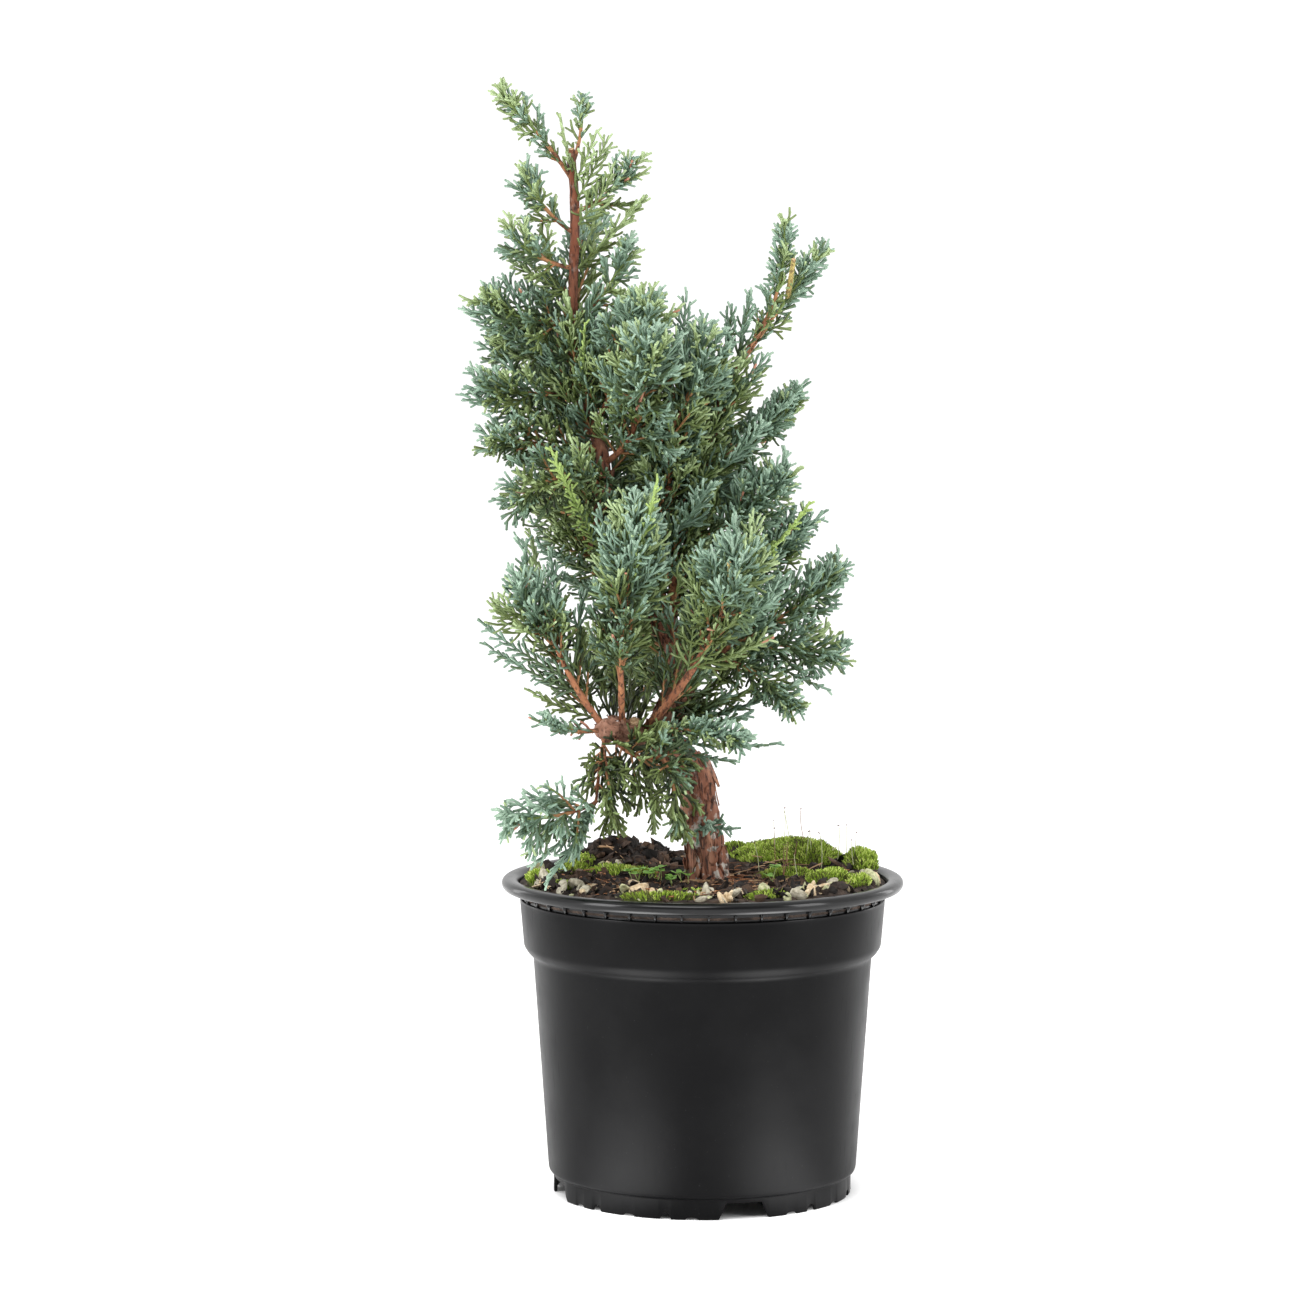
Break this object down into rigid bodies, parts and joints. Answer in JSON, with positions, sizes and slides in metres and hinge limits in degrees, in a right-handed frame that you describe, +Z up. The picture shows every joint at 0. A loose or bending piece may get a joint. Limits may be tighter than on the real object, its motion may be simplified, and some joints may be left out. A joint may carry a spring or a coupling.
{
  "type": "potted spiral juniper",
  "caption": "Small spiral-trained juniper with blue-green scale-leaf sprays on a winding bare trunk, in a black plastic nursery pot with soil, pebbles and moss.",
  "frame": {"origin": "on the ground at the middle of the pot's underside", "axes": "+Z up, -Y towards the front, +X to the right seen from the front"},
  "size_m": [0.2092, 0.19, 0.5225],
  "materials": {
    "pot_plastic": "satin",
    "soil": "matte",
    "moss": "matte",
    "bark": "matte",
    "foliage": "matte"
  },
  "bodies": {
    "root": {"bough_front_left": "bark", "bough_front_middle": "bark", "bough_front_right": "bark", "foliage_back_crown": "foliage", "foliage_back_low_left": "foliage", "foliage_back_low_right": "foliage", "foliage_back_middle": "foliage", "foliage_back_middle_left": "foliage", "foliage_back_middle_right": "foliage", "foliage_back_upper_left": "foliage", "foliage_back_upper_right": "foliage", "foliage_centre_front": "foliage", "foliage_centre_right": "foliage", "foliage_centre_top": "foliage", "foliage_crown_left": "foliage", "foliage_crown_left_middle": "foliage", "foliage_crown_left_upper": "foliage", "foliage_crown_right": "foliage", "foliage_crown_right_middle": "foliage", "foliage_crown_tip": "foliage", "foliage_front_left": "foliage", "foliage_front_low_left": "foliage", "foliage_front_middle": "foliage", "foliage_front_right": "foliage", "foliage_hanging_left": "foliage", "foliage_hanging_right": "foliage", "foliage_left_low": "foliage", "foliage_left_middle": "foliage", "foliage_left_under": "foliage", "foliage_left_upper": "foliage", "foliage_left_wide": "foliage", "foliage_low_right": "foliage", "foliage_right_hanging": "foliage", "foliage_right_low": "foliage", "foliage_right_middle": "foliage", "foliage_right_reach": "foliage", "foliage_right_upper": "foliage", "foliage_right_wide": "foliage", "foliage_rim_spray": "foliage", "foliage_spire": "foliage", "foliage_spire_side": "foliage", "limb_back_low": "bark", "limb_back_middle": "bark", "limb_back_top": "bark", "limb_centre": "bark", "limb_centre_right": "bark", "limb_centre_top": "bark", "limb_left": "bark", "limb_left_under": "bark", "limb_right_low": "bark", "limb_spire": "bark", "moss": "moss", "pot": "pot_plastic", "pruned_limb": "bark", "soil": "soil", "trunk": "bark", "twig_hanging": "bark", "twig_rim": "bark"}
  },
  "joints": []
}
